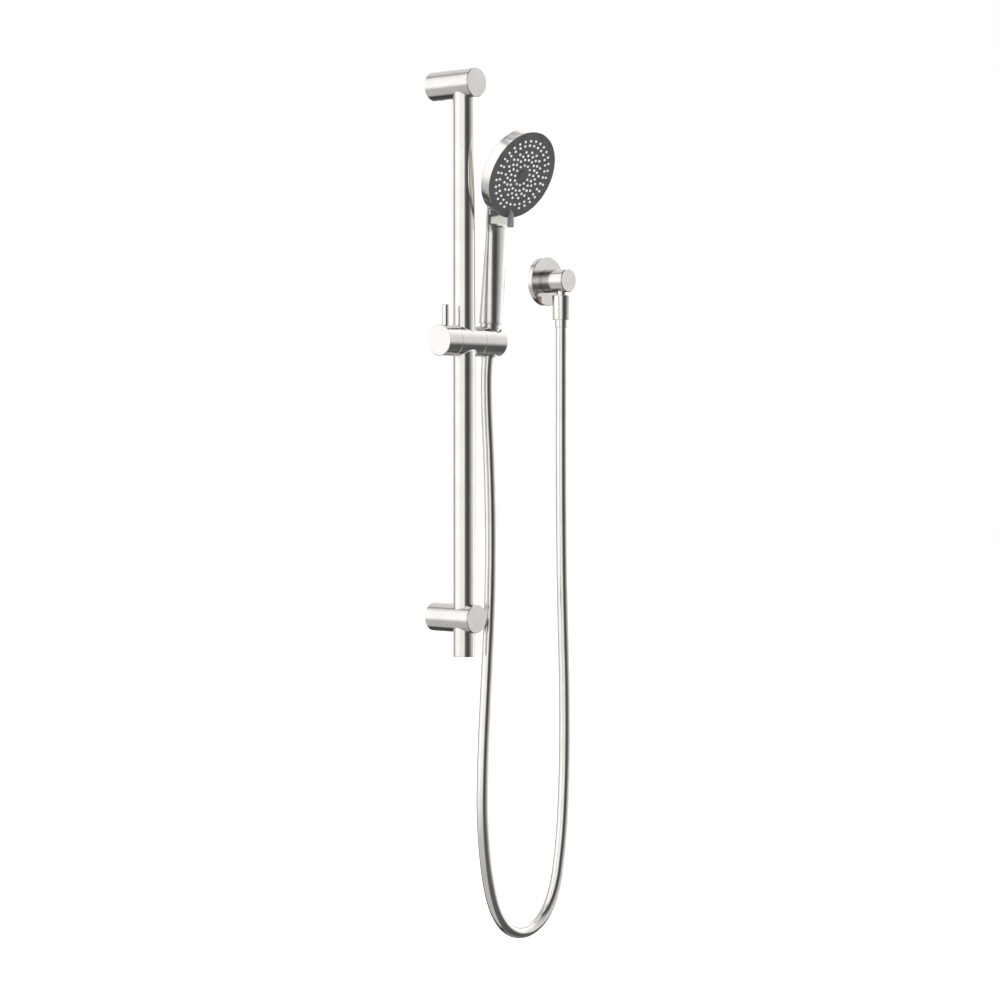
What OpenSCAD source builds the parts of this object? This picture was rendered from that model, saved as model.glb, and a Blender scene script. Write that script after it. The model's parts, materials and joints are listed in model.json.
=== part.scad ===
// Handheld shower on a wall rail: rail with two brackets, clamping slider with a tilting
// holder, handset with a turning spray selector, hose and wall elbow.
// The wall is the plane Y = 0 and the shower stands out from it towards -Y. +Z is up.
// The origin is the middle of the upper bracket's back face.

/* [Rail] */
// Outer diameter of the rail tube
rail_d = 26; // [25:0.5:27]
// Wall thickness of the rail tube
rail_wall = 1.5; // [1:0.1:2.5]
// Distance from the wall to the rail's axis
rail_out = 47; // [46:0.5:49]
// Distance between the two brackets' axes
bracket_pitch = 617; // [560:1:700]
// How far the rail goes on below the lower bracket's axis
rail_tail = 44.5; // [30:0.5:80]

/* [Brackets] */
// Diameter of a wall bracket
bracket_d = 33.6; // [33:0.1:36]
// Length of a wall bracket, from the wall to its front face
bracket_len = 66.7; // [64:0.1:70]
// Diameter of the post that a bracket is pushed onto
post_d = 27; // [24:0.5:28]
// Length of that post
post_len = 26; // [22:1:28]
// Diameter of the wall screw's hole in a post
screw_hole_d = 5.2; // [4.5:0.1:6]

/* [Slider] */
// Height of the slider's axis at rest, below the upper bracket's axis
slider_drop = 296.3; // [200:0.1:400]
// Diameter of the slider, its knob and its holder
slider_d = 35.4; // [35:0.1:37]
// Length of the lock knob
knob_len = 21.7; // [18:0.1:25]
// Length of the clamp body on the rail
clamp_len = 40.8; // [39:0.1:42]
// Length of the handset holder
holder_len = 35.8; // [34:0.1:38]
// Diameter of the lock lever
lever_d = 8; // [6:0.5:9]
// Height of the lock lever's top above the slider's axis
lever_reach = 41; // [30:1:44]

/* [Handset] */
// Distance from the rail's axis to the handset's axis, along X
handset_x = 43.5; // [43:0.1:44.5]
// Lean of the handset away from the wall at rest, in degrees
handset_lean = 5.5; // [0:0.5:10]
// Diameter of the hose cone level with the slider's axis
cone_d = 22.52; // [22.4:0.02:22.8]
// Height of the handle's lower end above the slider's axis
handle_foot = 21.2; // [20:0.1:24]
// Diameter of the handle's lower end
handle_d = 27.4; // [26:0.1:29]
// Diameter of the shower head
head_d = 105.2; // [104:0.1:108]
// Thickness of the shower head at its rim
head_rim = 12.9; // [12:0.1:16]
// Height of the face's middle above the slider's axis, along the handle
head_up = 194.8; // [185:0.1:205]
// Distance from the handle's axis to the face's middle
head_out = 32.4; // [30:0.1:36]
// Forward tilt of the face against the handle, in degrees
face_tilt = 19; // [15:0.5:22]

/* [Hose and wall elbow] */
// Outer diameter of the hose
hose_d = 14.4; // [14:0.1:15]
// Distance from the rail's axis to the elbow, along X
elbow_x = 196; // [196:1:196]
// Height of the elbow, below the upper bracket's axis
elbow_drop = 218; // [218:1:218]
// Diameter of the wall flange
flange_d = 59.6; // [56:0.1:62]
// Thickness of the wall flange
flange_t = 6.7; // [5:0.1:8]
// Diameter of the elbow's body
elbow_d = 28.4; // [27:0.1:30]
// Distance from the wall to the front of the elbow's body
elbow_len = 39.8; // [39:0.1:42]
// Distance from the wall to the hose nut's axis
outlet_out = 28.5; // [28:0.1:29]

/* [Hidden] */
$fn = 72;

nickel = [0.72, 0.69, 0.66];
dark_grey = [0.28, 0.28, 0.29];
milky = [0.86, 0.87, 0.88];
black = [0.08, 0.08, 0.08];
white_plastic = [0.9, 0.9, 0.88];
brass = [0.78, 0.62, 0.32];

fit = 0.05;          // radial clearance of a running fit
loose = 0.1;         // radial clearance of parts that only pass each other
edge = 0.6;          // chamfer round the ends of the turned bars
rail_r = rail_d / 2;
bore_r = rail_r + fit;
bracket_r = bracket_d / 2;
lower_z = -bracket_pitch;
rail_top = 9;        // the rail ends this far above the upper bracket's axis
rail_bottom = lower_z - rail_tail;
grub_out = 13;       // the grub screws' distance from the wall
grub_r = 2.5;
slider_r = slider_d / 2;
clamp_right = clamp_len / 2;
holder_right = clamp_right + 0.2 + holder_len;
knob_right = -clamp_right - 0.2;
knob_left = knob_right - knob_len;
bush_r = bore_r + 1.45;
boss_r = 7;          // the boss that the holder turns on
boss_end = clamp_right + 4.6;
pad_r = 5;
pad_left = rail_r + 4.2;
spindle_r = 4;
cone_taper = 0.05;   // growth of the cone's radius per mm of height
liner_wall = 1.4;
seat_gap = 0.08;     // radial gap between the hose cone and the holder's liner
slot_w = 16;         // the slot that lets the hose into the holder
cone_bottom = -17.2;
thread_r = 10.4;     // outside of a half-inch pipe thread
ferrule_r = 8.05;
hose_r = hose_d / 2;
hose_start = -18.5;  // the upper ferrule's lower end, along the handset's axis
hose_gap = 0.4;      // the hose starts this far below it
head_r = head_d / 2;
plate_r = head_r - 0.85;
plate_t = 2.6;
hub_r = 9;
axle_r = 3;
nut_top = -18;       // heights on the elbow, from its own axis
nut_bottom = -47.7;
ferrule_bottom = -56.8;
outlet_r = 4.5;
inlet_r = 9.3;       // inside of a half-inch pipe thread
inlet_len = 14;
valve_r = 7.6;

// Rings of spray nozzles: radius, count, angle of the first one from the top
nozzle_rings = [[41.6, 30, 6], [36.1, 30, 6], [28.2, 18, 8], [23.8, 18, -2], [18.9, 18, 8], [11.9, 12, -7]];
nozzle_r = 1.15;
nozzle_tip = 0.9;    // how far a nozzle stands out of the face

// The hose's route between its two ends, point by point
hose_down = [
    [44.3, -42.6, -350], [45.8, -42.4, -385], [47.8, -43.2, -430], [48.8, -44.5, -490],
    [48, -45.5, -550], [45.6, -46, -610], [42, -46, -665], [38.4, -46, -715],
    [35, -46, -765], [33, -46, -810], [33.5, -45.5, -849], [37.2, -45, -888],
    [42.8, -44.5, -920], [50.5, -43.5, -946], [62, -42.5, -969.5], [79.5, -41, -988],
    [103, -39, -998.5], [129, -37, -998.5], [152.5, -35.5, -988], [170, -34, -969.5],
    [181.8, -32.5, -946], [189.2, -31, -920], [195.2, -30, -888], [199.6, -29, -849],
    [202.2, -28.5, -805], [202.8, -28.5, -755], [202, -28.5, -700], [199.8, -28.5, -640],
    [197.6, -28.5, -570], [196.4, -28.5, -490], [196, -28.5, -410], [196, -28.5, -340],
    [196, -28.5, -300]
];

// ---- places --------------------------------------------------------------------------

// The children's own +Z points away from the wall
module outward() rotate([90, 0, 0]) children();

// The children's own +Z points along +X
module sideways() rotate([0, 90, 0]) children();

// On the slider's axis, +Z along +X
module on_slider() translate([0, -rail_out, -slider_drop]) sideways() children();

// On the handset's axis, +Z up the handle
module in_handset()
    translate([handset_x, -rail_out, -slider_drop]) rotate([handset_lean, 0, 0]) children();

// On the middle of the shower face, +Z out of the face and +Y up it
module in_head()
    in_handset() translate([0, -head_out, head_up]) rotate([90 + face_tilt, 0, 0]) children();

// On the elbow's axis at the wall, row axes
module at_elbow() translate([elbow_x, 0, -elbow_drop]) children();

// On the elbow's outlet, +Z up
module at_outlet() at_elbow() translate([0, -outlet_out, 0]) children();

// ---- shapes --------------------------------------------------------------------------

// Round bar from low to high, with a chamfer at each end
module bar(r, low, high, low_edge = 0, high_edge = 0)
    rotate_extrude() polygon(concat(
        [[0, low]],
        low_edge > 0 ? [[r - low_edge, low], [r, low + low_edge]] : [[r, low]],
        high_edge > 0 ? [[r, high - high_edge], [r - high_edge, high]] : [[r, high]],
        [[0, high]]
    ));

// Round cutter from low to high
module hole(r, low, high) translate([0, 0, low]) cylinder(r = r, h = high - low);

// Ring from low to high
module ring(r, inner_r, low, high)
    difference() {
        bar(r, low, high);
        hole(inner_r, low - 1, high + 1);
    }

// Radius of the hose cone at a height on the handset's axis
function cone_r(height) = cone_d / 2 + cone_taper * height;

// Frustum that follows the hose cone, grown by a gap
module cone(gap, low, high)
    translate([0, 0, low])
        cylinder(r1 = cone_r(low) + gap, r2 = cone_r(high) + gap, h = high - low);

// ---- rail and brackets ---------------------------------------------------------------

module bracket(rail_high)
    difference() {
        outward() bar(bracket_r, 0, bracket_len, 0.3, edge);
        outward() hole(post_d / 2 + loose, -1, post_len + 1);
        translate([0, -rail_out, 0]) hole(bore_r, -bracket_r - 1, rail_high);
        translate([0, -grub_out, 0]) hole(grub_r, -bracket_r - 1, 0);
    }

module upper_bracket() color(nickel) bracket(rail_top + 0.5);

module lower_bracket() color(nickel) translate([0, 0, lower_z]) bracket(bracket_r + 1);

module wall_post()
    difference() {
        outward() bar(post_d / 2, 0, post_len, 0, 0.5);
        outward() hole(screw_hole_d / 2, -1, post_len + 1);
        outward() hole(screw_hole_d, 6, post_len + 1);
        translate([0, -grub_out, 0]) hole(grub_r + 0.4, -post_d, -post_d / 2 + 1.5);
    }

module upper_wall_post() color(brass) wall_post();

module lower_wall_post() color(brass) translate([0, 0, lower_z]) wall_post();

module bracket_grub_screws()
    color(black)
        for (z = [0, lower_z])
            translate([0, -grub_out, z])
                difference() {
                    bar(grub_r - loose, -bracket_r + 0.8, -post_d / 2 + 1.4, 0, 0.4);
                    translate([0, 0, -bracket_r]) cylinder(r = 1.3, h = 2.6, $fn = 6);
                }

module rail_tube()
    color(nickel) translate([0, -rail_out, 0])
        ring(rail_r, rail_r - rail_wall, rail_bottom + 1.6, rail_top);

module rail_top_plug()
    color(white_plastic) translate([0, -rail_out, 0])
        bar(rail_r - rail_wall - 0.02, rail_top - 8, rail_top, 0.5, 0);

module rail_end_cap()
    color(nickel) translate([0, -rail_out, rail_bottom]) {
        bar(rail_r, 0, 1.6, 0.5, 0);
        bar(rail_r - rail_wall - 0.02, 1, 13, 0, 0.6);
    }

// ---- wall elbow ----------------------------------------------------------------------

module elbow_flange()
    color(nickel) at_elbow() outward()
        difference() {
            bar(flange_d / 2, 0, flange_t, 0, edge);
            hole(elbow_d / 2 + fit, -1, flange_t + 1);
            hole(flange_d / 2 - 3.3, -1, flange_t - 2.2);
        }

module elbow_flange_seal()
    color(black) at_elbow() outward() ring(flange_d / 2 - 3.5, elbow_d / 2 + 4, 0.2, 2.2);

module elbow_body()
    color(nickel) at_elbow()
        difference() {
            outward() bar(elbow_d / 2, 0, elbow_len, 0.4, edge + 0.2);
            outward() hole(inlet_r, -1, inlet_len);
            outward() hole(valve_r, inlet_len - 1, elbow_len - 5);
            translate([0, -outlet_out, 0]) hole(6.25, -elbow_d, 0);
        }

module elbow_nipple()
    color(nickel) at_outlet()
        difference() {
            union() {
                bar(6.2, nut_top - 2, -7.7);
                bar(thread_r, nut_top - 10.5, nut_top - 1, 0.8, 0.8);
            }
            hole(outlet_r, nut_top - 12, 0);
        }

module check_valve_seat()
    color(white_plastic) at_elbow() outward()
        difference() {
            bar(valve_r - 0.05, inlet_len + 0.1, 21);
            hole(4.2, inlet_len - 1, 18);
            hole(6.4, 17.5, 22);
        }

module check_valve_guide()
    color(white_plastic) at_elbow() outward()
        difference() {
            bar(valve_r - 0.05, 22.6, 24);
            hole(1.5, 22, 25);
            for (turn = [0:90:270]) rotate([0, 0, turn]) translate([4.4, 0, 0]) hole(1.7, 22, 25);
        }

module check_valve_poppet()
    color(dark_grey) at_elbow() outward() {
        bar(5.4, 17.55, 19.1, 0.4, 0.2);
        bar(1.44, 19, 26, 0, 0.3);
    }

module check_valve_spring()
    color(nickel) at_elbow() outward()
        for (turn = [0:3])
            translate([0, 0, 19.6 + 0.85 * turn]) rotate_extrude() translate([2.9, 0]) circle(r = 0.35);

module elbow_hose_washer()
    color(black) at_outlet() ring(thread_r - 0.2, 5.5, nut_top - 12.7, nut_top - 10.7);

module elbow_hose_nut()
    color(nickel) at_outlet()
        difference() {
            rotate_extrude() polygon([
                [0, nut_bottom], [10.5, nut_bottom], [10.9, nut_bottom + 0.4],
                [11.5, nut_top - 0.5], [11, nut_top], [0, nut_top]
            ]);
            hole(thread_r + fit, nut_top - 15, nut_top + 1);
            hole(ferrule_r + loose, nut_bottom - 1, nut_top);
        }

module elbow_hose_ferrule()
    color(nickel) at_outlet()
        difference() {
            union() {
                bar(ferrule_r, ferrule_bottom, nut_top - 13, 0.4, 0);
                bar(thread_r - 0.2, nut_top - 14.9, nut_top - 12.8);
            }
            hole(outlet_r, ferrule_bottom - 1, nut_top);
        }

// ---- hose ----------------------------------------------------------------------------

// A point on the handset's axis, in the row frame
function on_handset_axis(height) = [
    handset_x,
    -rail_out - height * sin(handset_lean),
    -slider_drop + height * cos(handset_lean)
];

hose_route = concat(
    [on_handset_axis(hose_start - hose_gap), on_handset_axis(hose_start - 14)],
    hose_down,
    [[elbow_x, -outlet_out, -elbow_drop + ferrule_bottom]]
);

function unit(v) = v / norm(v);

// Point on a smooth curve through b and c, t = 0 at b and t = 1 at c
function between(a, b, c, d, t) =
    0.5 * (2 * b + (c - a) * t + (2 * a - 5 * b + 4 * c - d) * t * t
        + (3 * b - a - 3 * c + d) * t * t * t);

// Two points for each stretch of a route, and the route's last point
function smooth(route) = let (last = len(route) - 1) concat(
    [for (i = [0 : last - 1]) for (t = [0, 0.5])
        between(route[max(i - 1, 0)], route[i], route[i + 1], route[min(i + 2, last)], t)],
    [route[last]]
);

// Tube of flat sides round a line; its ends stand square to the line's first and last stretch
module tube(line, r, sides) {
    last = len(line) - 1;
    points = [
        for (i = [0 : last])
            let (
                along = unit(line[min(i + 1, last)] - line[max(i - 1, 0)]),
                side = unit(cross([0, 1, 0.2], along)),
                other = cross(along, side)
            )
            for (k = [0 : sides - 1])
                line[i] + r * (cos(k * 360 / sides) * side + sin(k * 360 / sides) * other)
    ];
    faces = concat(
        [[for (k = [0 : sides - 1]) k]],
        [for (i = [0 : last - 1]) for (k = [0 : sides - 1])
            let (next = (k + 1) % sides)
            [i * sides + k, (i + 1) * sides + k, (i + 1) * sides + next, i * sides + next]],
        [[for (k = [sides - 1 : -1 : 0]) last * sides + k]]
    );
    polyhedron(points = points, faces = faces, convexity = 6);
}

module hose() color(nickel) tube(smooth(hose_route), hose_r, 10);

// ---- slider --------------------------------------------------------------------------

module slider_body()
    color(nickel)
        difference() {
            on_slider() union() {
                bar(slider_r, -clamp_right, clamp_right, 0.4, 0.4);
                bar(boss_r, clamp_right - 1, boss_end, 0, 0.4);
            }
            translate([0, -rail_out, -slider_drop]) hole(bush_r + 0.02, -slider_r - 1, slider_r + 1);
            on_slider() hole(pad_r + fit, -pad_left - 0.6, 0);
            on_slider() hole(spindle_r + fit, -clamp_right - 1, 0);
            on_slider() hole(2.52, 0, boss_end + 1);
        }

module rail_bush()
    color(white_plastic)
        difference() {
            intersection() {
                translate([0, -rail_out, -slider_drop]) bar(bush_r, -slider_r, slider_r);
                on_slider() bar(slider_r - 0.3, -clamp_right, clamp_right);
            }
            translate([0, -rail_out, -slider_drop]) hole(bore_r, -slider_r - 1, slider_r + 1);
            on_slider() hole(pad_r + loose, -clamp_right, 0);
        }

module brake_pad()
    color(black)
        difference() {
            on_slider() bar(pad_r, -pad_left, -rail_r + 3);
            translate([0, -rail_out, -slider_drop]) hole(rail_r + 0.03, -slider_r, slider_r);
        }

module pivot_washer() color(nickel) on_slider() ring(4.4, 2.7, boss_end + 2.25, boss_end + 3.1);

module pivot_screw()
    color(nickel) on_slider()
        difference() {
            union() {
                bar(2.5, bush_r + 0.6, boss_end + 3.5, 0.4, 0);
                bar(4.5, boss_end + 3.15, boss_end + 5, 0, 0.4);
            }
            translate([0, 0, boss_end + 3.8]) cylinder(r = 1.8, h = 2, $fn = 6);
        }

module lock_knob()
    color(nickel)
        difference() {
            on_slider() bar(slider_r, knob_left, knob_right, edge, 0.4);
            translate([knob_left + knob_len / 2, -rail_out, -slider_drop]) hole(2.5, 6, slider_r + 1);
            on_slider() hole(spindle_r, knob_left + 5, knob_right + 1);
        }

module lock_lever()
    color(nickel) translate([knob_left + knob_len / 2, -rail_out, -slider_drop])
        difference() {
            union() {
                bar(2.45, 7, slider_r + 1);
                bar(lever_d / 2, slider_r - 0.9, lever_reach, 0, 0.5);
            }
            on_slider_cut();
        }

// The knob's round top, taken out of the lever's foot so that it sits on the knob
module on_slider_cut()
    sideways()
        difference() {
            bar(slider_r + 0.01, -lever_d, lever_d);
            translate([-slider_r, 0, 0]) sideways() hole(2.46, -2, slider_r);
        }

module lock_spindle()
    color(brass) on_slider() bar(spindle_r - 0.01, knob_left + 5, -pad_left - 0.5, 0, 0.4);

// ---- holder --------------------------------------------------------------------------

module hose_slot() in_handset() translate([0, -slot_w / 2, -40]) cube([30, slot_w, 80]);

module handset_holder()
    color(nickel)
        difference() {
            on_slider() bar(slider_r, clamp_right + 0.2, holder_right, 0.4, edge);
            on_slider() hole(boss_r + fit, clamp_right - 1, boss_end + 0.2);
            on_slider() hole(2.6, boss_end, boss_end + 3);
            on_slider() hole(4.7, boss_end + 2.2, handset_x);
            in_handset() cone(seat_gap + liner_wall + 0.02, -25, 25);
            hose_slot();
        }

module holder_liner()
    color(dark_grey)
        difference() {
            intersection() {
                in_handset() cone(seat_gap + liner_wall, -24, 24);
                on_slider() hole(slider_r - 0.3, clamp_right, holder_right - 0.8);
            }
            in_handset() cone(seat_gap, -30, 30);
            hose_slot();
        }

// ---- handset's hose end --------------------------------------------------------------

module handset_hose_ferrule()
    color(nickel) in_handset()
        difference() {
            union() {
                bar(ferrule_r, hose_start, 8, 0.4, 0);
                bar(thread_r - 0.3, 7.2, 9.2);
            }
            hole(outlet_r, hose_start - 1, 10);
        }

module hose_cone_nut()
    color(nickel) in_handset()
        difference() {
            cone(0, cone_bottom, handle_foot - 0.2);
            hole(thread_r + fit, 7.1, handle_foot + 1);
            hole(ferrule_r + loose, cone_bottom - 1, 8);
        }

module handset_washer() color(black) in_handset() ring(thread_r - 0.2, 6.4, 9.3, 11.3);

module handset_filter()
    color(milky) in_handset()
        difference() {
            bar(6.2, 9.4, 11.2, 0.3, 0.3);
            for (turn = [0:60:300]) rotate([0, 0, turn]) translate([3.6, 0, 0]) hole(1.1, 9, 12);
            hole(1.1, 9, 12);
        }

// ---- handset -------------------------------------------------------------------------

handle_top = 150;
handle_top_r = 13.1;
tube_r = 8;
cavity_r = head_r - 2.6;
cavity_back = -10.6;
ledge = -2.85;       // the rim of the spray plate lies just in front of this
port_r = 5.5;        // the water port that leaves the handle's top for the head
port_tilt = 40;

// On the water port, +Z towards the head
module in_port() in_handset() translate([0, 0, handle_top]) rotate([port_tilt, 0, 0]) children();

// Outside of the head: straight rim, rounded back edge and a shallow dome
module head_outside()
    rotate_extrude() polygon(concat(
        [[0, 0.2], [head_r - 0.3, 0.2], [head_r, -0.1]],
        [for (turn = [0:15:75]) [
            head_r - 3 + 3 * cos(turn), -head_rim + 3 - 3 * sin(turn)]],
        [[head_r - 12, -head_rim - 1.2], [head_r - 26, -head_rim - 2.6], [0, -head_rim - 4]]
    ));

module handset_shell()
    color(nickel)
        difference() {
            union() {
                in_handset() translate([0, 0, handle_foot])
                    cylinder(r1 = handle_d / 2, r2 = handle_top_r, h = handle_top - handle_foot);
                hull() {
                    in_handset() hole(handle_top_r - 0.2, handle_top - 2, handle_top - 0.2, $fn = 32);
                    in_head() translate([0, -14, 0]) hole(27, -head_rim - 1.5, -head_rim + 2, $fn = 32);
                }
                in_head() head_outside();
            }
            in_head() hole(cavity_r, cavity_back, 2);
            in_head() hole(plate_r + 0.15, ledge, 2);
            in_handset() hole(tube_r + 2.5, 45, handle_top - 10);
            in_handset() hole(tube_r + fit, 30, handle_top + 4);
            in_handset() hole(thread_r + loose, handle_foot - 1, 34);
            in_port() hole(port_r + fit, 0, 25);
        }

module handset_inlet()
    color(brass) in_handset()
        difference() {
            bar(thread_r, 11.5, 33.8, 0.8, 0.4);
            hole(6, 11, 26);
            hole(tube_r + 0.02, 25.9, 34);
        }

module waterway_tube()
    color(white_plastic)
        difference() {
            union() {
                in_handset() bar(tube_r, 26, handle_top + 3.9);
                in_port() bar(port_r, 0, 24);
            }
            in_handset() hole(tube_r - 1.6, 25, handle_top + 2.3);
            in_port() hole(port_r - 1.5, 0, 25);
            in_head() hole(cavity_r, cavity_back, 5);
        }

module manifold()
    color(white_plastic)
        difference() {
            in_head() manifold_disc();
            in_port() hole(port_r - 1.5, 0, 20);
        }

module manifold_disc()
    difference() {
        bar(cavity_r - 0.3, cavity_back + 0.1, -6.1);
        difference() {
            hole(cavity_r - 6, cavity_back + 2, -4);
            hole(hub_r + 3, cavity_back, -3);
            for (turn = [0:120:240]) rotate([0, 0, turn])
                translate([0, -1, -12]) cube([60, 2, 12]);
        }
        hole(axle_r, -12, 0);
        translate([0, 6, 0]) hole(1.3, -9.9, 0);
        difference() {
            hole(cavity_r - 1.6, -7.2, -4);
            hole(cavity_r - 4, -9, -3);
        }
    }

module manifold_seal()
    color(black) in_head() rotate_extrude() translate([cavity_r - 2.8, -6.25]) circle(r = 0.8);

module selector_axle()
    color(brass) in_head()
        difference() {
            union() {
                bar(axle_r - 0.02, -10.4, -1.2);
                bar(5.1, -1.35, -0.35);
            }
            translate([0, 0, -1]) cylinder(r = 1.5, h = 2, $fn = 6);
        }

module detent_spring()
    color(nickel) in_head() translate([0, 6, 0])
        for (turn = [0:2])
            translate([0, 0, -9.5 + 0.6 * turn]) rotate_extrude() translate([0.8, 0]) circle(r = 0.2);

module detent_ball() color(nickel) in_head() translate([0, 6, -7.05]) sphere(r = 1.05);

// ---- spray face ----------------------------------------------------------------------

// The children at each nozzle, except where the selector tab's foot covers the outer ring
module at_nozzles()
    for (row = nozzle_rings)
        for (i = [0 : row[1] - 1])
            let (turn = row[2] + i * 360 / row[1])
                if (row[0] < 40 || abs(turn - 180) > 7)
                    translate([row[0] * sin(turn), row[0] * cos(turn), 0]) children();

module spray_plate()
    color(dark_grey) in_head()
        difference() {
            union() {
                translate([0, 0, -plate_t]) linear_extrude(plate_t)
                    difference() {
                        circle(r = plate_r);
                        at_nozzles() circle(r = nozzle_r + loose, $fn = 16);
                    }
                bar(hub_r, -6, -plate_t / 2);
            }
            hole(axle_r + 0.04, -7, 1);
            hole(5.3, -1.4, 1);
            for (turn = [-30, 0, 30])
                rotate([0, 0, turn]) translate([0, 6, -7.05]) sphere(r = 1.15);
        }

module nozzle_mat()
    color(milky) in_head() {
        ring(cavity_r - 2, hub_r + loose, -5.3, -plate_t - 0.1);
        at_nozzles() translate([0, 0, -plate_t - 0.2])
            cylinder(r1 = nozzle_r, r2 = nozzle_r - 0.2, h = plate_t + 0.2 + nozzle_tip, $fn = 16);
    }

module selector_tab()
    color(dark_grey) in_head()
        translate([-1.6, 0, 0]) rotate([90, 0, 90]) linear_extrude(3.2)
            polygon([
                [-42.5, 0], [-44.6, 3.6], [-46.2, 5.4], [-58.8, 11.7], [-60.4, 11.2],
                [-62.8, 4.8], [-61.8, 4.1], [-53.4, 0.9], [-51.6, 0.6], [-51.4, 0]
            ]);

module centre_cap()
    color(dark_grey) in_head()
        rotate_extrude() polygon([[0, -0.3], [5.1, -0.3], [5.1, 0.1], [4.4, 0.7], [2.6, 1.05], [0, 1.15]]);

upper_bracket();
lower_bracket();
upper_wall_post();
lower_wall_post();
bracket_grub_screws();
rail_tube();
rail_top_plug();
rail_end_cap();
elbow_flange();
elbow_flange_seal();
elbow_body();
elbow_nipple();
check_valve_seat();
check_valve_guide();
check_valve_poppet();
check_valve_spring();
elbow_hose_washer();
elbow_hose_nut();
elbow_hose_ferrule();
hose();
slider_body();
rail_bush();
pivot_washer();
pivot_screw();
brake_pad();
lock_knob();
lock_lever();
lock_spindle();
handset_holder();
holder_liner();
handset_hose_ferrule();
hose_cone_nut();
handset_washer();
handset_filter();
handset_shell();
handset_inlet();
waterway_tube();
manifold();
manifold_seal();
selector_axle();
detent_spring();
detent_ball();
spray_plate();
nozzle_mat();
selector_tab();
centre_cap();
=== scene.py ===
"""Looks for the handheld shower on its wall rail: hose, casing, spray face, finishes and light."""
import json
import math

import bmesh
import bpy
from mathutils import Matrix, Vector


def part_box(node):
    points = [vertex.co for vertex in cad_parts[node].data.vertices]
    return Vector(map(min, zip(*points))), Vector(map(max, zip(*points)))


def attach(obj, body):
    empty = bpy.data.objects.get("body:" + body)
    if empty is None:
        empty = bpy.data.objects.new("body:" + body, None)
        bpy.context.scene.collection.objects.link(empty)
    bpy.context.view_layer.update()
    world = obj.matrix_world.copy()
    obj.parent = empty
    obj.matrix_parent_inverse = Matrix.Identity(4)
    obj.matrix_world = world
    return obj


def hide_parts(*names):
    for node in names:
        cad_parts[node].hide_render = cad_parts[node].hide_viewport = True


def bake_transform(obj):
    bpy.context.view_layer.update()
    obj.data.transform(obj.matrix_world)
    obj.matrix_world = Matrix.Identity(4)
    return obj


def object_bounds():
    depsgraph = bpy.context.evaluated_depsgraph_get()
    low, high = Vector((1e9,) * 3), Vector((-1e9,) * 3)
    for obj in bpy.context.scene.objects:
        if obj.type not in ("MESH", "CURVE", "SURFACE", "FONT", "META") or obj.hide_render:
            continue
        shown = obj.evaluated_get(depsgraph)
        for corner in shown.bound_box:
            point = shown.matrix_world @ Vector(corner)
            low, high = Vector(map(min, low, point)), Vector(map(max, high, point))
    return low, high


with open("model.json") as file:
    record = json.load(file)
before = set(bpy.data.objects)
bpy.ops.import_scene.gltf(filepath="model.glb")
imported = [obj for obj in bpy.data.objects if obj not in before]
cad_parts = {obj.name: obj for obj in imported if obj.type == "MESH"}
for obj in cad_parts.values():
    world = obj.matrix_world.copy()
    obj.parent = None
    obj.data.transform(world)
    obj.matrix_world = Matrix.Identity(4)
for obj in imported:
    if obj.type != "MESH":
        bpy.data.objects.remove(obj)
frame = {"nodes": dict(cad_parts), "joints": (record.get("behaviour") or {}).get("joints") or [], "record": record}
cad_low, cad_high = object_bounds()
MM = 0.001                # metres in a millimetre
MERGE = 1e-7              # metres under which two points are one

# ---- places, in metres, from the frame ---------------------------------------------------

JOINTS = {joint["name"]: joint for joint in frame["joints"]}
PIVOT = Vector(JOINTS["handset_turn"]["pos_m"])
HANDSET_UP = Vector(JOINTS["handset_turn"]["axis"]).normalized()
FACE_MIDDLE = Vector(JOINTS["spray_select"]["pos_m"])
FACE_OUT = Vector(JOINTS["spray_select"]["axis"]).normalized()


def frame_of(origin, up):
    """Matrix whose +Z is up and whose +X is the row's +X, at origin."""
    x = Vector((1, 0, 0))
    y = up.cross(x).normalized()
    turn = Matrix((x, y, up)).transposed().to_4x4()
    return Matrix.Translation(origin) @ turn


HANDSET = frame_of(PIVOT, HANDSET_UP)
HEAD = frame_of(FACE_MIDDLE, FACE_OUT)      # its +Y points up the face
TO_HEAD = HANDSET.inverted() @ HEAD

# ---- mesh helpers ------------------------------------------------------------------------


def add_mesh(name, points, faces, place=Matrix.Identity(4), smooth_angle=35):
    """A new object from points in place's frame, shaded smooth but for its sharp edges."""
    mesh = bpy.data.meshes.new(name)
    mesh.from_pydata([place @ Vector(p) for p in points], [], faces)
    mesh.validate()
    obj = bpy.data.objects.new(name, mesh)
    bpy.context.scene.collection.objects.link(obj)
    tidy_normals(obj, smooth_angle)
    return obj


def tidy_normals(obj, smooth_angle):
    """Turns the faces outward and marks the edges sharper than the angle."""
    work = bmesh.new()
    work.from_mesh(obj.data)
    bmesh.ops.remove_doubles(work, verts=work.verts, dist=MERGE)
    bmesh.ops.recalc_face_normals(work, faces=work.faces)
    for face in work.faces:
        face.smooth = True
    limit = math.radians(smooth_angle)
    for edge in work.edges:
        edge.smooth = len(edge.link_faces) == 2 and edge.calc_face_angle(0) < limit
    work.to_mesh(obj.data)
    work.free()


def ring_faces(rings, around):
    """Quads that join rings of points, each ring holding `around` points."""
    faces = []
    for i in range(rings - 1):
        for k in range(around):
            a = i * around + k
            b = i * around + (k + 1) % around
            faces.append((a, b, b + around, a + around))
    return faces


def capped(faces, count, around):
    """The faces of a row of rings, holding count points in all, with both ends closed."""
    return faces + [tuple(range(around)), tuple(range(count - around, count))]


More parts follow.
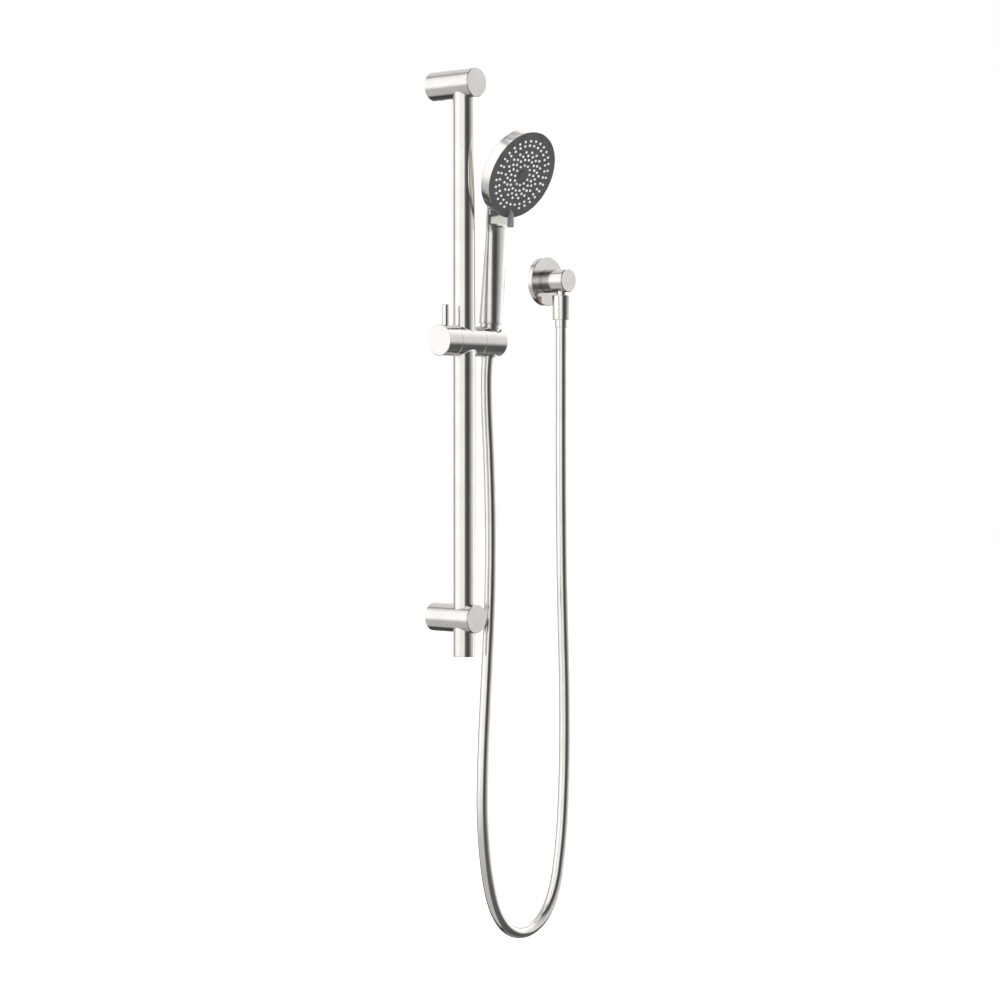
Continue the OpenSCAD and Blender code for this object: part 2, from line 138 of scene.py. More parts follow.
def prism(outline, half):
    """Points and faces of an outline of (y, z), drawn out along X by half to each side."""
    count = len(outline)
    points = [(x, y, z) for x in (-half, half) for y, z in outline]
    faces = [tuple(range(count)), tuple(range(2 * count - 1, count - 1, -1))]
    faces += [(k, (k + 1) % count, count + (k + 1) % count, count + k) for k in range(count)]
    return points, faces


def lathe(profile, around):
    """Points and faces of an outline of (radius, height) turned round +Z. Radius 0 closes an end."""
    points, faces, starts = [], [], []
    for radius, height in profile:
        starts.append((len(points), radius > 0))
        if radius > 0:
            for k in range(around):
                turn = 2 * math.pi * k / around
                points.append((radius * math.cos(turn), radius * math.sin(turn), height))
        else:
            points.append((0, 0, height))
    for (a, wide_a), (b, wide_b) in zip(starts, starts[1:]):
        for k in range(around):
            n = (k + 1) % around
            if wide_a and wide_b:
                faces.append((a + k, a + n, b + n, b + k))
            elif wide_a:
                faces.append((a + k, a + n, b))
            elif wide_b:
                faces.append((a, b + n, b + k))
    return points, faces


def arc(middle, radius, start, end, steps):
    """Outline points on an arc, in degrees from the +radius direction."""
    return [(middle[0] + radius * math.cos(math.radians(start + (end - start) * i / steps)),
             middle[1] + radius * math.sin(math.radians(start + (end - start) * i / steps)))
            for i in range(steps + 1)]


def from_mm(points):
    """Points given in millimetres, in metres."""
    return [tuple(MM * c for c in p) for p in points]


def apply_modifiers(obj):
    bpy.context.view_layer.update()
    seen = obj.evaluated_get(bpy.context.evaluated_depsgraph_get())
    made = bpy.data.meshes.new_from_object(seen)
    obj.modifiers.clear()
    obj.data = made


def join(name, parts):
    """One object from several, with no doubles removed."""
    work = bmesh.new()
    for part in parts:
        work.from_mesh(part.data)
        bpy.data.objects.remove(part)
    mesh = bpy.data.meshes.new(name)
    work.to_mesh(mesh)
    work.free()
    obj = bpy.data.objects.new(name, mesh)
    bpy.context.scene.collection.objects.link(obj)
    return obj


def settle(piece, body, replaced):
    """Makes a piece ride on its body and stand for its CAD node."""
    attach(piece, body)
    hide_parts(replaced)


# ---- camera ------------------------------------------------------------------------------

CAMERA_PLACE = (-2.2656, -2.1118, -0.3968)
CAMERA_AZIMUTH = math.radians(48.43)        # from +Y towards +X
CAMERA_PITCH = math.radians(1.557)          # downward
CAMERA_LENS = 95.4                          # millimetres, on a 36 mm sensor
CAMERA_CLIP = (0.1, 50)


def build_camera():
    camera = bpy.data.objects.new("camera", bpy.data.cameras.new("camera"))
    bpy.context.scene.collection.objects.link(camera)
    bpy.context.scene.camera = camera
    camera.location = CAMERA_PLACE
    camera.data.sensor_width = 36
    camera.data.lens = CAMERA_LENS
    camera.data.clip_start, camera.data.clip_end = CAMERA_CLIP
    looking = Vector((math.sin(CAMERA_AZIMUTH) * math.cos(CAMERA_PITCH),
                      math.cos(CAMERA_AZIMUTH) * math.cos(CAMERA_PITCH),
                      -math.sin(CAMERA_PITCH)))
    camera.rotation_mode = "QUATERNION"
    camera.rotation_quaternion = looking.to_track_quat("-Z", "Y")


build_camera()

# ---- hose --------------------------------------------------------------------------------

HOSE_D = 0.0144
HOSE_TOP = -0.0185        # the upper ferrule's lower end, along the handset's axis
HOSE_LEAVES = -0.0325     # where the hose begins to leave that axis
HOSE_STEP = 0.004         # between the rings of its tube
HOSE_AROUND = 40
HOSE_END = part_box("elbow_hose_ferrule")[0].z
# The route's points in millimetres, between the two ends, as the CAD hose has them
HOSE_DOWN = [
    (44.3, -42.6, -350), (45.8, -42.4, -385), (47.8, -43.2, -430), (48.8, -44.5, -490),
    (48, -45.5, -550), (45.6, -46, -610), (42, -46, -665), (38.4, -46, -715),
    (35, -46, -765), (33, -46, -810), (33.5, -45.5, -849), (37.2, -45, -888),
    (42.8, -44.5, -920), (50.5, -43.5, -946), (62, -42.5, -969.5), (79.5, -41, -988),
    (103, -39, -998.5), (129, -37, -998.5), (152.5, -35.5, -988), (170, -34, -969.5),
    (181.8, -32.5, -946), (189.2, -31, -920), (195.2, -30, -888), (199.6, -29, -849),
    (202.2, -28.5, -805), (202.8, -28.5, -755), (202, -28.5, -700), (199.8, -28.5, -640),
    (197.6, -28.5, -570), (196.4, -28.5, -490), (196, -28.5, -410), (196, -28.5, -340),
    (196, -28.5, -300),
]
ELBOW_OUTLET = Vector((0.196, -0.0285, HOSE_END))
HOLDER_SPAN = 0.045       # below the pivot, where the hose's top stretch ends
SLIDER_SPAN = 0.165       # below the pivot, where its upper stretch ends


def between(a, b, c, d, t):
    """Point on a smooth curve through b and c, t = 0 at b and t = 1 at c."""
    return 0.5 * (2 * b + (c - a) * t + (2 * a - 5 * b + 4 * c - d) * t * t
                  + (3 * b - a - 3 * c + d) * t * t * t)


def smooth_line(route, step):
    """Points about `step` apart along a smooth curve through the route."""
    last = len(route) - 1
    line = []
    for i in range(last):
        parts = max(1, round((route[i + 1] - route[i]).length / step))
        for k in range(parts):
            line.append(between(route[max(i - 1, 0)], route[i], route[i + 1],
                                route[min(i + 2, last)], k / parts))
    line.append(route[last])
    return line


def hose_line():
    top = [PIVOT + HANDSET_UP * h for h in (HOSE_TOP, HOSE_LEAVES)]
    route = top + [Vector(p) * MM for p in HOSE_DOWN] + [ELBOW_OUTLET]
    return smooth_line(route, HOSE_STEP)


def tube_rings(line, radius, around):
    """A ring of points round each point of the line, all of them turned alike."""
    rings, side = [], Vector((1, 0, 0))
    for i, p in enumerate(line):
        along = (line[min(i + 1, len(line) - 1)] - line[max(i - 1, 0)]).normalized()
        side = (side - along * side.dot(along)).normalized()
        other = along.cross(side)
        rings.append([p + radius * (math.cos(2 * math.pi * k / around) * side
                                    + math.sin(2 * math.pi * k / around) * other)
                      for k in range(around)])
    return rings


def hose_piece(name, rings):
    """A stretch of the hose, closed at both ends."""
    points = [p for ring in rings for p in ring]
    faces = capped(ring_faces(len(rings), HOSE_AROUND), len(points), HOSE_AROUND)
    return add_mesh(name, points, faces)


def build_hose():
    """The hose in four stretches: its end rides on the wall set, the other three stay where they are."""
    line = hose_line()
    rings = tube_rings(line, HOSE_D / 2, HOSE_AROUND)
    depth = [PIVOT.z - p.z for p in line]
    low = next(i for i, d in enumerate(depth) if d > HOLDER_SPAN)
    high = next(i for i, d in enumerate(depth) if d > SLIDER_SPAN)
    lowest = depth.index(max(depth))
    top = hose_piece("hose_top", rings[:low + 1])
    upper = hose_piece("hose_upper", rings[low:high + 1])
    middle = hose_piece("hose_middle", rings[high:lowest + 1])
    wall_side = hose_piece("hose_wall_side", rings[lowest:])
    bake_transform(top)
    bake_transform(upper)
    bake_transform(middle)
    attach(wall_side, "wall_set")
    for piece in (top, upper, middle, wall_side):
        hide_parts("hose")
    return [top, upper, middle, wall_side]


hose_pieces = build_hose()

# ---- handset casing ----------------------------------------------------------------------

# Millimetres. The head's sizes are from the face, outward +, the handle's from the pivot, up +
HEAD_R = 52.6
HEAD_AROUND = 192
RIM_BACK = -12.4          # where the straight rim ends and the back's curve starts
BACK_RISE = 4.5
BACK_STEPS = 40
BACK_SPREAD = 2.2         # how much closer together the back's rings are near the rim
FOOT = 21.2
FOOT_R = 13.7
FOOT_BORE_R = 10.6
FOOT_BEND = 0.6
NECK_START = 128.0        # where the neck starts to flare
WIDENS = 2.4              # how much wider and flatter the handle's half sizes are there
FLATTENS = 4.2
NECK_REACH = (42, 35)     # half sizes of the neck's foot on the head's back
NECK_RISE = 6             # how far up the head's back the middle of that foot is
NECK_SINK = 0.04          # how far that foot is from the back's surface
SLOPE_STEP = 0.5          # radius over which the back's slope is taken
LEAVE_OUT = 28            # how the neck's curve leaves the handle: outward, backward and up,
LEAVE_BACK = 4            # the last more at the back than at the front
LEAVE_UP = 122
LEAVE_UP_BACK = 100
ARRIVE = 46               # how it arrives at the head, and how much more at the back
ARRIVE_BACK = 20
FRONT_ARRIVE = 30         # the front arrives straight up instead
FRONT_TURNS = 1.6         # how soon round the neck it does
HANDLE_AROUND = 128
HANDLE_STEPS = 26
NECK_STEPS = 48
# The notch from the side, as (y, z): the flat, the rounded ledge below it, and out in front
NOTCH = [(-2.0, 147.2), (-2.0, 137.4), (-2.8, 135.6), (-4.4, 134.2), (-7, 133.3), (-14, 132.6),
         (-34, 132.6), (-34, 147.2)]
NOTCH_HALF = 60
HEAD_ANGLE, NECK_ANGLE, CUT_ANGLE = 28, 40, 24      # degrees, above which an edge is sharp


def back_height(radius):
    """Height of the head's back surface at a radius, in the head's frame."""
    return RIM_BACK - BACK_RISE * math.sqrt(max(0.0, 1 - (radius / HEAD_R) ** 4))


def head_casing():
    """The seat of the face, a thin rounded front edge, the rim and the low curve of the back."""
    profile = [(49.8, -2.85), (51.9, -2.85), (51.9, 0.05)]
    profile += arc((52.1, 0.05), 0.2, 180, 90, 4)
    profile += arc((52.15, -0.2), 0.45, 90, 0, 5)
    profile += [(HEAD_R, -3.5), (HEAD_R, -7), (HEAD_R, RIM_BACK)]
    radii = [HEAD_R * (1 - (i / BACK_STEPS) ** BACK_SPREAD) for i in range(1, BACK_STEPS)]
    profile += [(r, back_height(r)) for r in radii + [0]]
    return lathe(profile, HEAD_AROUND)


def handle_half(height):
    """Half width and half depth at a height: round at the foot, flatter towards the head."""
    climb = (height - FOOT) / (NECK_START - FOOT)
    return FOOT_R + WIDENS * climb, FOOT_R - FLATTENS * climb


def neck_point(turn, t):
    """Point of the neck between the handle's top (t = 0) and the head's back (t = 1)."""
    c, s = math.cos(turn), math.sin(turn)
    back = max(0.0, s)
    wide, deep = handle_half(NECK_START)
    start = Vector((wide * c, deep * s, NECK_START))
    reach = Vector((NECK_REACH[0] * c, NECK_RISE + NECK_REACH[1] * s))
    out = Vector((NECK_REACH[0] * c, NECK_REACH[1] * s)).normalized()
    height = back_height(reach.length)
    slope = (back_height(reach.length + SLOPE_STEP) - height) / SLOPE_STEP
    to_head = TO_HEAD.to_3x3()
    end = to_head @ Vector((reach.x, reach.y, height + NECK_SINK)) + TO_HEAD.translation / MM
    arrive = to_head @ Vector((out.x, out.y, slope * out.dot(reach.normalized())))
    arrive *= ARRIVE + ARRIVE_BACK * back
    if s < 0:
        arrive = arrive.lerp(Vector((0, 0, FRONT_ARRIVE)), min(1.0, -s * FRONT_TURNS))
    leave = Vector((LEAVE_OUT * c, LEAVE_BACK * back, LEAVE_UP + LEAVE_UP_BACK * back))
    return ((2 * t ** 3 - 3 * t ** 2 + 1) * start + (t ** 3 - 2 * t ** 2 + t) * leave
            + (3 * t ** 2 - 2 * t ** 3) * end + (t ** 3 - t ** 2) * arrive)


def handle_and_neck():
    """Handle and neck in one skin, from the rim of the foot's bore up to the head's back."""
    turns = [2 * math.pi * k / HANDLE_AROUND for k in range(HANDLE_AROUND)]
    foot = [(FOOT_BORE_R, 25.0), (FOOT_BORE_R, FOOT + 0.3), (FOOT_BORE_R + 0.3, FOOT)]
    foot += arc((FOOT_R - FOOT_BEND, FOOT + FOOT_BEND), FOOT_BEND, 270, 360, 5)
    points = [(r * math.cos(a), r * math.sin(a), z) for r, z in foot for a in turns]
    for i in range(1, HANDLE_STEPS):
        height = FOOT + 1 + (NECK_START - FOOT - 1) * i / HANDLE_STEPS
        wide, deep = handle_half(height)
        points += [(wide * math.cos(a), deep * math.sin(a), height) for a in turns]
    for i in range(NECK_STEPS + 1):
        points += [tuple(neck_point(a, i / NECK_STEPS)) for a in turns]
    faces = ring_faces(len(points) // HANDLE_AROUND, HANDLE_AROUND)
    return points, capped(faces, len(points), HANDLE_AROUND)


def cut_notch(neck):
    """Cuts the notch below the face: a flat across the handle's front, over a rounded ledge."""
    points, faces = prism(NOTCH, NOTCH_HALF)
    cutter = add_mesh("cutter", from_mm(points), faces, HANDSET)
    cut = neck.modifiers.new("notch", "BOOLEAN")
    cut.operation = "DIFFERENCE"
    cut.solver = "EXACT"
    cut.object = cutter
    apply_modifiers(neck)
    bpy.data.objects.remove(cutter)


def build_casing():
    """The whole shell in one piece, the head in its first material and the rest in its second."""
    points, faces = head_casing()
    head = add_mesh("head", from_mm(points), faces, HEAD, HEAD_ANGLE)
    points, faces = handle_and_neck()
    neck = add_mesh("neck", from_mm(points), faces, HANDSET, NECK_ANGLE)
    cut_notch(neck)
    tidy_normals(neck, CUT_ANGLE)
    for face in neck.data.polygons:
        face.material_index = 1
    casing = join("handset_casing", [head, neck])
    settle(casing, "handset", "handset_shell")
    return casing


casing = build_casing()

# The water tube's route in millimetres, bent to stay behind the notch
WATERWAY = [(0, 0, 26), (0, 0, 70), (0, 0, 112), (0, 1.6, 130), (0, 3.2, 145), (0, 0, 158),
            (0, -8, 170)]
WATERWAY_R = (0.0032, 0.0042)               # metres, inside and outside
WATERWAY_STEP = 0.003
WATERWAY_AROUND = 32


def build_waterway():
    """The water tube in the handle, a closed skin with its bore."""
    line = smooth_line([Vector(p) * MM for p in WATERWAY], WATERWAY_STEP)
    inner, outer = (tube_rings(line, r, WATERWAY_AROUND) for r in WATERWAY_R)
    rings = outer + inner[::-1] + [outer[0]]
    points = [p for ring in rings for p in ring]
    tube = add_mesh("water_tube", points, ring_faces(len(rings), WATERWAY_AROUND), HANDSET)
    settle(tube, "handset", "waterway_tube")
    return tube


water_tube = build_waterway()

# ---- spray face --------------------------------------------------------------------------

# Rings of nozzles: radius, count, angle of the first one from the top, as in the CAD face
NOZZLE_RINGS = [(41.6, 30, 6), (36.1, 30, 6), (28.2, 18, 8), (23.8, 18, -2), (18.9, 18, 8),
                (11.9, 12, -7)]
OUTER_RING_R = 40         # rings beyond this leave out the nozzles that the fin would cover
FIN_GAP = 7               # degrees to each side of the fin
INNER_RING_R = 15         # rings inside this have wide bores
WIDE_BORE_R, FINE_BORE_R = 0.75, 0.34
NOZZLE_AROUND = 16
WEB_AROUND = 96
# The sheet behind the face that the nozzles are moulded on, as (radius, height)
WEB = [(48, -2.75), (48, -5.2), (9.2, -5.2), (9.2, -2.75), (48, -2.75)]
NOZZLE_ANGLE = 50


def nozzle_places():
    """Radius and turn of each nozzle, without those under the fin."""
    for radius, count, first in NOZZLE_RINGS:
        for i in range(count):
            turn = first + i * 360 / count
            if radius < OUTER_RING_R or abs(turn - 180) > FIN_GAP:
                yield radius, math.radians(turn)


def nozzle_profile(open_r):
    """A soft nozzle that flares over its hole, with a round lip and a bore."""
    profile = [(1.15, -2.9), (1.15, 0.0), (1.5, 0.03), (1.45, 0.35), (1.3, 0.7)]
    profile += arc((1.05, 0.8), 0.25, 0, 90, 4)
    profile += arc((open_r + 0.1, 0.95), 0.1, 90, 180, 2)
    profile += [(open_r, 0.45), (open_r * 0.7, 0.15), (0, 0.1)]
    return profile


def build_nozzles():
    points, faces = [], []

    def add(profile, around, x, y):
        shape, shape_faces = lathe(profile, around)
        first = len(points)
        points.extend((p[0] + x, p[1] + y, p[2]) for p in shape)
        faces.extend(tuple(first + i for i in face) for face in shape_faces)

    for radius, turn in nozzle_places():
        bore = WIDE_BORE_R if radius < INNER_RING_R else FINE_BORE_R
        add(nozzle_profile(bore), NOZZLE_AROUND, radius * math.sin(turn), radius * math.cos(turn))
    add(WEB, WEB_AROUND, 0, 0)
    nozzles = add_mesh("spray_nozzles", from_mm(points), faces, HEAD, NOZZLE_ANGLE)
    settle(nozzles, "spray", "nozzle_mat")
    return nozzles


nozzles = build_nozzles()


# The fin from the side, as (y, z) from the face's middle
FIN = [(-42.5, 0.05), (-44.4, 3.4), (-46.2, 5.4), (-58.6, 11.5), (-60.2, 11.1),
       (-62.6, 4.9), (-61.6, 4.2), (-53.4, 1.0), (-51.6, 0.65), (-51.2, 0.05)]
FIN_HALF = 1.6
FIN_BEND = 0.35 * MM
FIN_ANGLE = 40


def build_fin():
    """The selector fin at the face's lower edge: a flat blade with rounded edges."""
    points, faces = prism(FIN, FIN_HALF)
    fin = add_mesh("selector_fin", from_mm(points), faces, HEAD)
    work = bmesh.new()
    work.from_mesh(fin.data)
    bmesh.ops.recalc_face_normals(work, faces=work.faces)
    bmesh.ops.bevel(work, geom=work.edges[:], offset=FIN_BEND, segments=3, profile=0.5,
                    affect="EDGES", clamp_overlap=True)
    work.to_mesh(fin.data)
    work.free()
    tidy_normals(fin, FIN_ANGLE)
    settle(fin, "spray", "selector_tab")
    return fin


fin = build_fin()


BOSS_AROUND = 72
BOSS_ANGLE = 50


def build_boss():
    """The round boss in the middle of the face, with a rolled rim and a shallow dish."""
    profile = [(0, -0.3), (5.0, -0.3), (5.05, 0.15)]
    profile += arc((4.65, 0.45), 0.4, 0, 90, 5)
    profile += [(4.2, 0.83), (3.6, 0.75), (2.6, 0.62), (1.4, 0.54), (0, 0.52)]
    points, faces = lathe(profile, BOSS_AROUND)
    boss = add_mesh("centre_boss", from_mm(points), faces, HEAD, BOSS_ANGLE)
    settle(boss, "spray", "centre_cap")
    return boss


boss = build_boss()

# ---- elbow's joint line, in metres -------------------------------------------------------

SEAM_FROM_FRONT = 0.0317  # from the elbow's front cap
SEAM_HALF = 0.0003
SEAM_DEEP = 0.0004        # how far it goes in, and its half width there
SEAM_PROUD = 0.00006
SEAM_AROUND = 96


def build_elbow_seam():
    """The fine joint line round the elbow, between its wall sleeve and its body."""
    low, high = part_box("elbow_body")
    radius = (high.x - low.x) / 2
    middle = Vector(((low.x + high.x) / 2, low.y + SEAM_FROM_FRONT, high.z - radius))
    inside, outside = radius - SEAM_DEEP, radius + SEAM_PROUD
    points, faces = lathe([(inside, -SEAM_DEEP), (outside, -SEAM_HALF), (outside, SEAM_HALF),
                           (inside, SEAM_DEEP), (inside, -SEAM_DEEP)], SEAM_AROUND)
    seam = add_mesh("elbow_seam", points, faces, frame_of(middle, Vector((0, 1, 0))))
    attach(seam, "wall_set")
    return seam


seam = build_elbow_seam()

# ---- materials ---------------------------------------------------------------------------


NOISE_LOW, NOISE_HIGH = 0.3, 0.7            # between which most of a noise lies
NO_STRETCH = (1, 1, 1)


def new_material(name):
    material = bpy.data.materials.new(name)
    material.use_nodes = True
    tree = material.node_tree
    shader = tree.nodes["Principled BSDF"]
    return material, tree, shader


def stretched_noise(tree, scales, scale, detail, place=None):
    """Noise on the object's coordinates, or on those of a given place, stretched for each axis."""
    source = tree.nodes.new("ShaderNodeTexCoord").outputs["Object"]
    if place:
        turn = tree.nodes.new("ShaderNodeMapping")
        turn.inputs["Rotation"].default_value = place.to_3x3().inverted().to_euler()
        tree.links.new(source, turn.inputs["Vector"])
        source = turn.outputs["Vector"]
    stretch = tree.nodes.new("ShaderNodeMapping")
    stretch.inputs["Scale"].default_value = scales
    noise = tree.nodes.new("ShaderNodeTexNoise")
    noise.inputs["Scale"].default_value = scale
    noise.inputs["Detail"].default_value = detail
    tree.links.new(source, stretch.inputs["Vector"])
    tree.links.new(stretch.outputs["Vector"], noise.inputs["Vector"])
    return noise


def remap(tree, source, low, high):
    """Takes noise to the range from low to high."""
    node = tree.nodes.new("ShaderNodeMapRange")
    node.inputs["From Min"].default_value = NOISE_LOW
    node.inputs["From Max"].default_value = NOISE_HIGH
    node.inputs["To Min"].default_value = low
    node.inputs["To Max"].default_value = high
    tree.links.new(source.outputs["Fac"], node.inputs["Value"])
    return node


def two_tone(tree, shader, source, dark, light):
    """Colours the surface from dark to light, by a noise."""
    ramp = tree.nodes.new("ShaderNodeValToRGB")
    ramp.color_ramp.elements[0].position = NOISE_LOW
    ramp.color_ramp.elements[0].color = (*dark, 1)
    ramp.color_ramp.elements[1].position = NOISE_HIGH
    ramp.color_ramp.elements[1].color = (*light, 1)
    tree.links.new(source.outputs["Fac"], ramp.inputs["Fac"])
    tree.links.new(ramp.outputs["Color"], shader.inputs["Base Color"])


def bump(tree, shader, source, strength, distance):
    node = tree.nodes.new("ShaderNodeBump")
    node.inputs["Strength"].default_value = strength
    node.inputs["Distance"].default_value = distance
    tree.links.new(source.outputs["Fac"], node.inputs["Height"])
    tree.links.new(node.outputs["Normal"], shader.inputs["Normal"])


NICKEL_LIGHT = (0.76, 0.735, 0.705)
NICKEL_DARK = (0.70, 0.675, 0.645)
# The noise's stretch for lines that run round each axis
BRUSHED = {"X": (1, 0.04, 0.04), "Y": (0.04, 1, 0.04), "Z": (0.04, 0.04, 1)}
BRUSH_SCALE, BRUSH_DETAIL = 2600, 3
CLOUD_SCALE, CLOUD_DETAIL = 45, 2
NICKEL_ROUGHNESS = (0.10, 0.18)
NICKEL_ANISOTROPY = 0.6


def nickel(axis, place=None):
    """Satin nickel brushed round an axis of the row, or round +Z of a given place."""
    material, tree, shader = new_material("satin_nickel_" + ("head" if place else axis.lower()))
    lines = stretched_noise(tree, BRUSHED[axis], BRUSH_SCALE, BRUSH_DETAIL, place)
    cloud = stretched_noise(tree, NO_STRETCH, CLOUD_SCALE, CLOUD_DETAIL)
    two_tone(tree, shader, cloud, NICKEL_DARK, NICKEL_LIGHT)
    rough = remap(tree, lines, *NICKEL_ROUGHNESS)
    tree.links.new(rough.outputs["Result"], shader.inputs["Roughness"])
    bump(tree, shader, lines, strength=0.10, distance=0.00002)
    shader.inputs["Metallic"].default_value = 1
    shader.inputs["Anisotropic"].default_value = NICKEL_ANISOTROPY
    if place:
        direction = tree.nodes.new("ShaderNodeVectorTransform")
        direction.vector_type = "VECTOR"
        direction.convert_from, direction.convert_to = "OBJECT", "WORLD"
        direction.inputs["Vector"].default_value = place.to_3x3().col[2]
        tree.links.new(direction.outputs["Vector"], shader.inputs["Tangent"])
    else:
        shader.inputs["Anisotropic Rotation"].default_value = 0.25
        tangent = tree.nodes.new("ShaderNodeTangent")
        tangent.direction_type = "RADIAL"
        tangent.axis = axis
        tree.links.new(tangent.outputs["Tangent"], shader.inputs["Tangent"])
    return material


def moulded(name, dark, light, roughness, metallic=0.0):
    """Moulded or cast surface: fine grain, and tone that drifts a little."""
    material, tree, shader = new_material(name)
    fine = stretched_noise(tree, NO_STRETCH, scale=900, detail=4)
    cloud = stretched_noise(tree, NO_STRETCH, scale=60, detail=2)
    two_tone(tree, shader, cloud, dark, light)
    rough = remap(tree, fine, roughness - 0.05, roughness + 0.06)
    tree.links.new(rough.outputs["Result"], shader.inputs["Roughness"])
    bump(tree, shader, fine, strength=0.25, distance=0.00003)
    shader.inputs["Metallic"].default_value = metallic
    return material


def dress(obj, material):
    obj.data.materials.clear()
    obj.data.materials.append(material)


NICKEL = {axis: nickel(axis) for axis in "XYZ"}
GREY_FACE = moulded("grey_face", (0.066, 0.067, 0.069), (0.082, 0.083, 0.085), 0.34)
MILKY = moulded("milky_silicone", (0.74, 0.75, 0.76), (0.82, 0.83, 0.84), 0.45)
WHITE = moulded("white_plastic", (0.72, 0.72, 0.69), (0.80, 0.80, 0.77), 0.45)
# The fin's grey is the face's grey plastic made lighter: painted light for the light the fin's side catches
GREY_FIN_PAINTED_LIGHT = moulded("grey_fin_painted_light", (0.15, 0.15, 0.155), (0.19, 0.19, 0.195), 0.28)
BLACK = moulded("black_plastic", (0.018, 0.018, 0.018), (0.03, 0.03, 0.03), 0.5)
RUBBER = moulded("black_rubber", (0.015, 0.015, 0.015), (0.025, 0.025, 0.025), 0.75)
BRASS = moulded("brass", (0.62, 0.44, 0.20), (0.72, 0.52, 0.25), 0.28, metallic=1.0)
STEEL = moulded("spring_steel", (0.52, 0.52, 0.53), (0.62, 0.62, 0.63), 0.22, metallic=1.0)
DARK_STEEL = moulded("dark_steel", (0.08, 0.08, 0.085), (0.12, 0.12, 0.125), 0.4, metallic=1.0)

FINISHES = {
    "satin_nickel_metal": None, "satin_nickel_plastic": NICKEL["Z"], "hose_jacket": NICKEL["Z"],
    "grey_face": GREY_FACE, "milky_silicone": MILKY, "white_plastic": WHITE, "black_plastic": BLACK,
    "black_rubber": RUBBER, "brass": BRASS, "spring_steel": STEEL, "dark_steel": DARK_STEEL,
}
# Which axis each nickel-plated metal piece was turned round, where it isn't Z
AXIS_OF = {
    "slider_body": "X", "lock_knob": "X", "handset_holder": "X",
    "upper_bracket": "Y", "lower_bracket": "Y", "elbow_body": "Y", "elbow_flange": "Y",
}
for part in frame["record"]["subparts"]:
    node = part["node"]
    finish = FINISHES[part["material_slot"]] or NICKEL[AXIS_OF.get(node, "Z")]
    dress(frame["nodes"][node], finish)
dress(casing, nickel("Z", HEAD))
casing.data.materials.append(NICKEL["Z"])
dress(nozzles, MILKY)
dress(fin, GREY_FIN_PAINTED_LIGHT)
dress(boss, GREY_FACE)
dress(seam, DARK_STEEL)
dress(water_tube, WHITE)
for piece in hose_pieces:
    dress(piece, NICKEL["Z"])

# ---- floor and light ---------------------------------------------------------------------

FLOOR_Z = cad_low.z - 0.12
FLOOR_HALF = 12


def build_floor():
    corners = [(x * FLOOR_HALF, y * FLOOR_HALF, FLOOR_Z)
               for x, y in ((-1, -1), (1, -1), (1, 1), (-1, 1))]
    floor = add_mesh("floor", corners, [(0, 1, 2, 3)])
    material, tree, shader = new_material("pale_floor")
    shader.inputs["Base Color"].default_value = (0.92, 0.92, 0.92, 1)
    shader.inputs["Roughness"].default_value = 0.9
    shader.inputs["Emission Color"].default_value = (1, 1, 1, 1)
    shader.inputs["Emission Strength"].default_value = 0.45
    dress(floor, material)
    floor.visible_glossy = False


build_floor()


# Brightness by direction. A turn is in degrees from straight in front, + to the right, and a
# rise in degrees above level
STUDIO_STRENGTH = 1.45
LEVEL = [
    (-180, 0.7), (-172, 0.26), (-164, 0.28), (-154, 0.66), (-142, 0.92), (-120, 1.0),
    (-100, 0.96), (-86, 0.84), (-50, 0.84), (-38, 0.24), (-30, 0.09), (-9, 0.05), (4, 0.08),
    (13, 0.19), (39, 0.52), (72, 0.98), (120, 0.95), (150, 0.6), (172, 0.55), (180, 0.7),
]
BELOW = [
    (-180, 0.12), (-165, 0.42), (-60, 0.44), (-40, 0.10), (70, 0.08), (120, 0.24),
    (150, 0.06), (172, 0.03), (180, 0.12),
]
ABOVE = [(0, 1.0), (58, 1.0), (66, 0.45), (74, 0.95)]       # by rise, times LEVEL
HORIZON = [(-24, 0.0), (-2, 1.0)]                           # by rise, from BELOW to LEVEL
WHOLE_TURN, WHOLE_RISE = 360, 180


def ramp_of(tree, source, span, stops):
    """Brightness that follows stops of (degrees, brightness), over span degrees about 0."""
    node = tree.nodes.new("ShaderNodeValToRGB")
    node.color_ramp.interpolation = "EASE"
    elements = node.color_ramp.elements
    while len(elements) < len(stops):
        elements.new(0.5)
    for element, (degrees, value) in zip(elements, stops):
        element.position = degrees / span + 0.5
        element.color = (value, value, value, 1)
    tree.links.new(source, node.inputs["Fac"])
    return node.outputs["Color"]


def calculate(tree, operation, a, b=None):
    """The result of a sum on sockets or numbers."""
    node = tree.nodes.new("ShaderNodeMath")
    node.operation = operation
    for socket, value in zip(node.inputs, (a, b)):
        if value is None:
            continue
        if isinstance(value, (int, float)):
            socket.default_value = value
        else:
            tree.links.new(value, socket)
    return node.outputs["Value"]


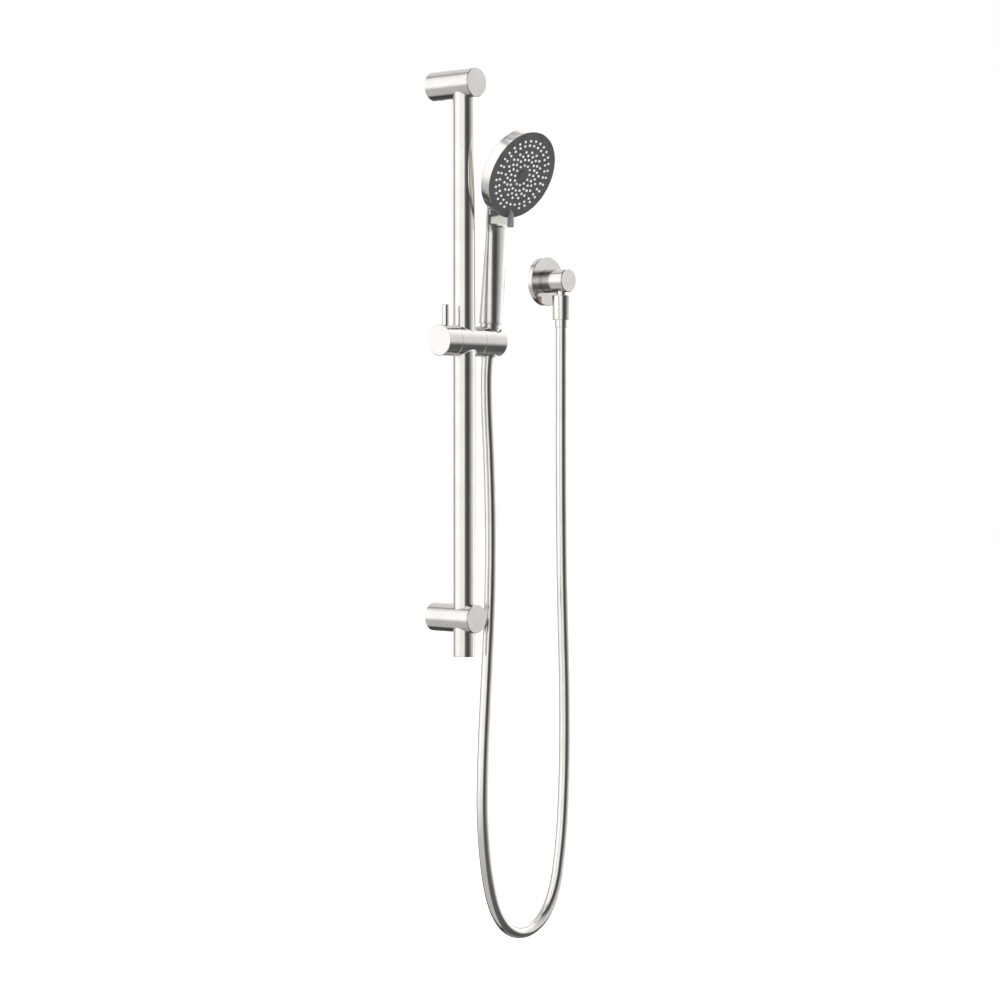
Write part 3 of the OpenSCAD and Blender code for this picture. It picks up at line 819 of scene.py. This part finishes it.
def build_world():
    """A studio for reflections, bright left and right and dark in front. The camera sees white."""
    world = bpy.data.worlds.new("studio")
    bpy.context.scene.world = world
    world.use_nodes = True
    tree = world.node_tree
    tree.nodes.clear()
    place = tree.nodes.new("ShaderNodeTexCoord")
    split = tree.nodes.new("ShaderNodeSeparateXYZ")
    tree.links.new(place.outputs["Generated"], split.inputs["Vector"])
    x, y, z = split.outputs
    turn = calculate(tree, "ARCTAN2", x, calculate(tree, "MULTIPLY", y, -1.0))
    turn = calculate(tree, "ADD", calculate(tree, "DIVIDE", turn, 2 * math.pi), 0.5)
    rise = calculate(tree, "ARCSINE", z)
    rise = calculate(tree, "ADD", calculate(tree, "DIVIDE", rise, math.pi), 0.5)
    level = ramp_of(tree, turn, WHOLE_TURN, LEVEL)
    above = ramp_of(tree, rise, WHOLE_RISE, ABOVE)
    below = ramp_of(tree, turn, WHOLE_TURN, BELOW)
    horizon = ramp_of(tree, rise, WHOLE_RISE, HORIZON)
    high = calculate(tree, "MULTIPLY", level, above)
    mix = tree.nodes.new("ShaderNodeMix")
    mix.data_type = "FLOAT"
    tree.links.new(horizon, mix.inputs["Factor"])
    tree.links.new(below, mix.inputs["A"])
    tree.links.new(high, mix.inputs["B"])
    studio = tree.nodes.new("ShaderNodeBackground")
    studio.inputs["Strength"].default_value = STUDIO_STRENGTH
    tree.links.new(mix.outputs["Result"], studio.inputs["Color"])
    white = tree.nodes.new("ShaderNodeBackground")
    white.inputs["Strength"].default_value = 1.0
    white.inputs["Color"].default_value = (1, 1, 1, 1)
    path = tree.nodes.new("ShaderNodeLightPath")
    choose = tree.nodes.new("ShaderNodeMixShader")
    out = tree.nodes.new("ShaderNodeOutputWorld")
    tree.links.new(path.outputs["Is Camera Ray"], choose.inputs["Fac"])
    tree.links.new(studio.outputs["Background"], choose.inputs[1])
    tree.links.new(white.outputs["Background"], choose.inputs[2])
    tree.links.new(choose.outputs["Shader"], out.inputs["Surface"])


build_world()


def area_light(name, place, size, power, target):
    """A soft light that nothing reflects."""
    light = bpy.data.lights.new(name, "AREA")
    light.shape = "RECTANGLE"
    light.size, light.size_y = size
    light.energy = power
    obj = bpy.data.objects.new(name, light)
    bpy.context.scene.collection.objects.link(obj)
    obj.location = place
    obj.rotation_mode = "QUATERNION"
    obj.rotation_quaternion = (Vector(target) - Vector(place)).to_track_quat("-Z", "Y")
    obj.visible_glossy = False
    obj.visible_camera = False


area_light("overhead", (0.1, -0.9, 2.2), (2.0, 1.4), 38, (0.08, -0.05, -0.5))
area_light("left_fill", (-2.6, -0.8, 0.3), (1.2, 2.0), 16, (0.05, -0.05, -0.3))

bpy.context.scene.view_settings.view_transform = "Standard"
bpy.context.scene.view_settings.look = "None"
